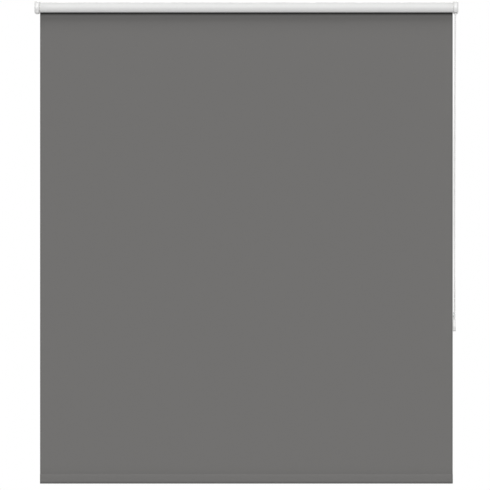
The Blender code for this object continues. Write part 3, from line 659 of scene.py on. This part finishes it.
def hangingSheet(s):
    length = -hemTop
    columns = sheetColumns(s)
    rows = [-length * i / s["downSteps"] for i in range(s["downSteps"] + 1)] + [-length - s["tuck"]]
    front = [
        (x, sheetFront + (s["tuckFront"] if z < -length else 0.0) - sheetDepth(x, z, s, length), z)
        for z in rows for x in columns
    ]
    back = [(x, y + sheetThickness - (s["tuckBack"] if z < -length else 0.0), z) for x, y, z in front]
    wide, tall, half = len(columns), len(rows), len(front)
    faces = []
    for r in range(tall - 1):
        for c in range(wide - 1):
            a, b = r * wide + c, r * wide + c + 1
            faces.append((a, a + wide, b + wide, b))
    frontFaces = len(faces)
    faces += [tuple(half + i for i in reversed(face)) for face in faces[:frontFaces]]
    rim = (
        [c for c in range(wide)]
        + [r * wide + wide - 1 for r in range(1, tall)]
        + [(tall - 1) * wide + c for c in range(wide - 2, -1, -1)]
        + [r * wide for r in range(tall - 2, 0, -1)]
    )
    faces += [(a, b, half + b, half + a) for a, b in zip(rim, rim[1:] + rim[:1])]
    piece = meshPiece("hangingFabric", front + back, faces, [greyWeave, whiteCoating])
    for face in piece.data.polygons[frontFaces:]:
        face.material_index = 1
    return sharpened(piece, 60)


hangingFabric = hangingSheet(sheetShape)
finishPiece(hangingFabric, "frame", "grey_fabric", "fabric_drop")

turnShape = {"turn": math.radians(64), "steps": 20, "stations": 24, "tip": 0.03 * mm, "settle": 0.7}


def fabricTurn(s):
    # where the fabric lifts off the back of the roll, thinning out where the two become one
    gap = sheetFront - (axisY + rollRadius)
    outside, inside = [], []
    for i in range(s["steps"] + 1):
        t = i / s["steps"]
        thinned = (1 - t) ** 2 * (1 + 2 * t)
        outside.append((rollRadius + gap + (sheetThickness - s["tip"]) * thinned + s["tip"], s["turn"] * t))
        inside.append((rollRadius + gap * (1 - s["settle"] * t), s["turn"] * t))
    ring = outside + inside[::-1]
    xs = [fabricHalf * (2 * i / s["stations"] - 1) for i in range(s["stations"] + 1)]
    sections = [[(x, axisY + r * math.cos(a), r * math.sin(a)) for r, a in ring] for x in xs]
    return sharpened(meshPiece("fabricTurn", *ringed(sections), [whiteCoating]), 60)


turnPiece = fabricTurn(turnShape)
finishPiece(turnPiece, "frame", "white_backing")


# Fabric left on the roll

rollShape = {
    "sides": 96,
    "stations": 40,
    "stack": 1.2 * mm,  # all wraps together
    "stagger": (0.0, 0.22 * mm, 0.08 * mm),  # how far each wrap's edge stands in
    "layerGap": 0.04 * mm,
    "valley": 0.55 * mm,  # how deep the gaps between edges look
    "lip": 0.03 * mm,
    "ripple": 0.05 * mm,
    "rippleAlong": 9.0,
    "rippleRound": 1.2,
    "seed": 2.3,
}


def fabricRoll(s):
    # the wraps left on the tube, with their layers showing at both ends
    inner, step = rollRadius - s["stack"], s["stack"] / len(s["stagger"])
    endProfile = [(s["valley"], inner)]  # how far in from the end, and radius
    for k, stagger in enumerate(s["stagger"]):
        low, high = inner + k * step, inner + (k + 1) * step
        endProfile += [(stagger, low + s["layerGap"]), (stagger, high - s["layerGap"]), (s["valley"], high)]
    endProfile[-1] = (endProfile[-2][0] + s["lip"], rollRadius)
    left = [(-fabricHalf + d, r) for d, r in endProfile]
    right = [(fabricHalf - d, r) for d, r in reversed(endProfile)]
    middle = [(fabricHalf * (2 * i / s["stations"] - 1), rollRadius) for i in range(1, s["stations"])]
    profile = left + middle + right
    points, faces = [], []
    for x, r in profile:
        outermost = r >= rollRadius - 0.01 * mm
        for k in range(s["sides"]):
            a = 2 * math.pi * k / s["sides"]
            y, z = math.cos(a), math.sin(a)
            at = Vector((x * s["rippleAlong"], y * s["rippleRound"], z * s["rippleRound"] + s["seed"]))
            rippled = r + s["ripple"] * (noise.noise(at) - 0.5) if outermost else r
            points.append((x, axisY + rippled * y, rippled * z))
    rings = len(profile)
    for i in range(rings):
        n = (i + 1) % rings
        for k in range(s["sides"]):
            m = (k + 1) % s["sides"]
            faces.append((i * s["sides"] + k, i * s["sides"] + m, n * s["sides"] + m, n * s["sides"] + k))
    return sharpened(meshPiece("fabricRoll", points, faces, [whiteCoating]), 40)


finishPiece(fabricRoll(rollShape), "roller", "white_backing", "fabric_roll")


# Hem

hemShape = {
    "steps": 72,
    "fullness": 2.4,
    "flap": 8.5 * mm,  # welded to the back of the sheet above the bar
    "flapSteps": (0.06, 0.3, 0.6, 0.9, 1.0),
    "flapGaps": (0.03 * mm, 0.05 * mm),  # from the sheet to the flap's two sides
    "seam": 0.9 * mm,  # height of the seam on the front of the sheet
    "seamLine": [(1.0, 0.06 * mm), (0.5, 0.10 * mm), (0.1, 0.14 * mm)],  # share of that height, and depth
    "seamGap": 0.03 * mm,
    "leave": 0.45 * mm,  # how far in front of the sheet the pocket starts
    "stations": 30,
    "endStep": 0.4 * mm,
}


def hemLine(s):
    # the fabric's outer line round the bar, from the side: up the front, over the foot and up the back
    halfDepth, halfHeight = (hemHigh.y - hemLow.y) / 2, (hemTop - hemBottom) / 2
    line = []
    for i in range(s["steps"] + 1):
        angle = math.pi / 2 + 2 * math.pi * i / s["steps"]
        c, v = math.cos(angle), math.sin(angle)
        y = halfDepth * math.copysign(abs(c) ** (2 / s["fullness"]), c)
        z = halfHeight * math.copysign(abs(v) ** (2 / s["fullness"]), v)
        line.append(Vector((hemY + y, hemZ + z)))
    return line


def thinnedLine(line):
    # the same line one thickness of fabric further in
    inner, last, centre = [], len(line) - 1, Vector((hemY, hemZ))
    for i, point in enumerate(line):
        way = (line[min(i + 1, last)] - line[max(i - 1, 0)]).normalized()
        normal = Vector((-way.y, way.x))
        if (point - centre).dot(normal) < 0:
            normal = -normal
        inner.append(point - normal * sheetThickness)
    return inner


def hemPocket(s):
    # the fabric doubled round the bottom bar and welded to its own back: the front starts as a thin
    # feather on the face of the sheet, and the back ends as a flap behind it
    outer = hemLine(s)
    inner = thinnedLine(outer)
    seam = [Vector((sheetFront - depth, hemTop + share * s["seam"])) for share, depth in s["seamLine"]]
    seamInner = [Vector((sheetFront - s["seamGap"], p.y)) for p in seam]
    near, far = s["flapGaps"]
    flap = [Vector((sheetBack + far + sheetThickness, hemTop + t * s["flap"])) for t in s["flapSteps"]]
    flapInner = [Vector((sheetBack + near, p.y)) for p in flap]
    start = next(i for i, p in enumerate(outer) if p.x < sheetFront - s["leave"])
    end = len(outer) - start
    ring = seam + outer[start:end] + flap + (seamInner + inner[start:end] + flapInner)[::-1]
    half, step = hemHigh.x, s["endStep"]
    between = [half * (2 * i / s["stations"] - 1) for i in range(1, s["stations"])]
    xs = [-half, step - half, *between, half - step, half]
    sections = [[(x, p.x, p.y) for p in ring] for x in xs]
    return sharpened(meshPiece("hemPocket", *ringed(sections), [greyWeave]), 50)


pocket = hemPocket(hemShape)
finishPiece(pocket, "bottom_rail", "grey_fabric", "hem_pocket")
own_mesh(hangingFabric)
print("fabric made")


# Carried-over parts

skinShape = {"weld": 0.002 * mm, "bevelAngle": 34, "bevelSteps": 2, "creaseAngle": 40}
edgeWidths = {  # how far each part's edges are rounded, in mm
    "control_bracket_cover": 0.35, "idle_bracket_cover": 0.35,
    "control_bracket": 0.25, "idle_bracket": 0.25,
    "clutch_housing": 0.2, "clutch_post": 0.2, "retaining_washer": 0.1,
    "drive_hub": 0.15, "idle_plug": 0.15, "idle_pin": 0.2, "idle_bearing": 0.15,
    "tensioner_body": 0.8, "tensioner_cover": 0.5, "tensioner_axle": 0.2, "tensioner_wheel": 0.1,
    "bottom_bar_cap_left": 0.3, "bottom_bar_cap_right": 0.3,
}


def softened(part, width, s):
    # one skin without seams, its edges rounded by width and its flats kept flat
    weld = part.modifiers.new("weld", "WELD")
    weld.merge_threshold = s["weld"]
    if width:
        bevel = part.modifiers.new("edges", "BEVEL")
        bevel.width, bevel.segments = width, s["bevelSteps"]
        bevel.limit_method, bevel.angle_limit = "ANGLE", math.radians(s["bevelAngle"])
        bevel.use_clamp_overlap = True
    split = part.modifiers.new("creases", "EDGE_SPLIT")
    split.split_angle = math.radians(s["creaseAngle"])
    flats = part.modifiers.new("flats", "WEIGHTED_NORMAL")
    flats.keep_sharp = True


def dressParts():
    for name, node in frame["nodes"].items():
        if node.hide_render:
            continue
        mesh = node.data
        mesh.materials.clear()
        mesh.materials.append(ownFinishes.get(name, finishes[slots[name]]))
        if mesh.has_custom_normals:
            mesh.attributes.remove(mesh.attributes["custom_normal"])
        mesh.shade_smooth()
        softened(node, edgeWidths.get(name, 0.0) * mm, skinShape)


dressParts()
print("parts dressed")


# Wire and threads

def sweptWire(name, points, radius, sides, material):
    # a round wire along points
    angles = [2 * math.pi * k / sides for k in range(sides)]
    sections = []
    for i, place in enumerate(points):
        along = (points[min(i + 1, len(points) - 1)] - points[max(i - 1, 0)]).normalized()
        out = (Vector((0, axisY, 0)) - place).cross(along).normalized()
        up = along.cross(out)
        sections.append([place + (out * math.cos(a) + up * math.sin(a)) * radius for a in angles])
    return sharpened(meshPiece(name, *ringed(sections), [material]), 60)


springShape = {
    "turns": 7,
    "perTurn": 24,
    "radius": 3.9 * mm,
    "wire": 0.4 * mm,
    "sides": 8,
    "closedTurns": 0.9,  # at each end, lying almost flat
    "closedLean": 0.09,  # share of the length that each of them takes
    "endRoom": 0.2 * mm,
    "travel": 6 * mm,
}


def idleSpring(s, low, high):
    low, high = low + s["wire"], high - s["wire"]
    count, flat = s["turns"] * s["perTurn"], s["closedTurns"] / s["turns"]
    points = []
    for i in range(count + 1):
        t = i / count
        rise = min(1.0, max(0.0, (t - flat) / (1 - 2 * flat)))
        lean = s["closedLean"] * (min(t, flat) + max(0.0, t - 1 + flat)) / flat
        a = 2 * math.pi * i / s["perTurn"]
        x = high - (high - low) * (rise * (1 - 2 * s["closedLean"]) + lean)
        points.append(Vector((x, axisY + s["radius"] * math.cos(a), s["radius"] * math.sin(a))))
    return sweptWire("idleSpring", points, s["wire"], s["sides"], finishes["spring_steel"])


springLow, springHigh = (corner.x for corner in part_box("idle_spring"))
springPiece = idleSpring(springShape, springLow, springHigh)
finishPiece(springPiece, "roller", "spring_steel", "idle_spring")
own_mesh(springPiece)

threadShape = {
    "pitch": 1.4 * mm,
    "core": 1.55 * mm,
    "wire": 0.22 * mm,
    "sides": 6,
    "perTurn": 16,
    "start": 0.5 * mm,  # behind the wall's face
    "stop": 1.2 * mm,  # short of the tip
    "point": 3.6 * mm,
}


def screwThread(name, s):
    # the ridge round a screw's shank, fading out at the point
    low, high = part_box(name)
    x, z = (low.x + high.x) / 2, (low.z + high.z) / 2
    length = high.y - s["stop"] - s["start"]
    count = int(length / s["pitch"] * s["perTurn"])
    points = []
    for i in range(count + 1):
        y = s["start"] + length * i / count
        radius = s["core"] * min(1.0, (high.y - y) / s["point"])
        a = 2 * math.pi * i / s["perTurn"]
        points.append(Vector((x + radius * math.cos(a), y, z + radius * math.sin(a))))
    piece = sweptWire(name + "Thread", points, s["wire"], s["sides"], finishes[slots[name]])
    finishPiece(piece, "frame", slots[name])


for name in slots:
    if "bracket_screw" in name or name == "tensioner_screw":
        screwThread(name, threadShape)
print("spring and threads made")


# Studio

studioSettings = {
    "fromBelow": 0.20,  # what the surroundings give off, below and above the horizon
    "fromAbove": 0.08,
    "horizon": 0.15,  # how gradually one becomes the other
    "reflected": 1.0,  # what they look like in a reflection
    "backdrop": 1.0,
    "floorHeight": -2.0,
    "floorRadius": 14.0,
    "floorSides": 96,
    "floorColour": (0.90, 0.90, 0.89),
    "floorTints": (0.99, 1.01),
    "lights": [  # name, height and side in degrees, width in degrees, strength
        ("front", 14.0, 0.0, 22.0, 1.81),
        ("top", 57.0, 0.0, 30.0, 1.14),
        ("left", 4.0, -98.0, 36.0, 0.60),
        ("right", 4.0, 98.0, 36.0, 0.60),
        ("below", -82.0, 0.0, 20.0, 0.80),
        ("rear", 30.0, 180.0, 50.0, 1.6),
    ],
}


def makeWorld(s):
    world = bpy.data.worlds.new("studio")
    scene.world = world
    world.use_nodes = True
    sky = Graph(world.node_tree, "Background")
    height = sky.node("SeparateXYZ", {}, {0: sky.node("TexCoord", output="Generated")}, output="Z")
    level = sky.node("MapRange", {}, {
        "Value": height, "From Min": -s["horizon"], "From Max": s["horizon"],
        "To Min": s["fromBelow"], "To Max": s["fromAbove"],
    })
    for kind, brightness in (
        ("Glossy", s["reflected"]), ("Transmission", s["backdrop"]), ("Camera", s["backdrop"]),
    ):
        ray = sky.node("LightPath", output="Is " + kind + " Ray")
        level = sky.node("Mix", {}, {0: ray, 2: level, 3: brightness})
    sky.set(Strength=level, Color=(1.0, 1.0, 1.0))


def makeLights(s):
    for name, height, side, width, strength in s["lights"]:
        data = bpy.data.lights.new(name, "SUN")
        data.energy, data.angle = strength, math.radians(width)
        light = bpy.data.objects.new(name, data)
        up, around = math.radians(height), math.radians(side)
        toLight = Vector((math.sin(around) * math.cos(up), -math.cos(around) * math.cos(up), math.sin(up)))
        light.rotation_euler = toLight.to_track_quat("Z", "Y").to_euler()
        studio.objects.link(light)


def makeFloor(s):
    bm = bmesh.new()
    bmesh.ops.create_circle(bm, cap_ends=True, segments=s["floorSides"], radius=s["floorRadius"])
    mesh = bpy.data.meshes.new("floor")
    bm.to_mesh(mesh)
    bm.free()
    paint = Finish("floorPaint", Roughness=0.7)
    paint.set(Base_Color=paint.mottled(paint.grain(3.0, 3.0), s["floorColour"], *s["floorTints"]))
    mesh.materials.append(paint.material)
    floor = bpy.data.objects.new("floor", mesh)
    floor.location.z = s["floorHeight"]
    floor.visible_diffuse = floor.visible_glossy = floor.visible_shadow = False
    studio.objects.link(floor)


makeWorld(studioSettings)
makeLights(studioSettings)
makeFloor(studioSettings)
scene.view_settings.view_transform = "Standard"
print("studio made")
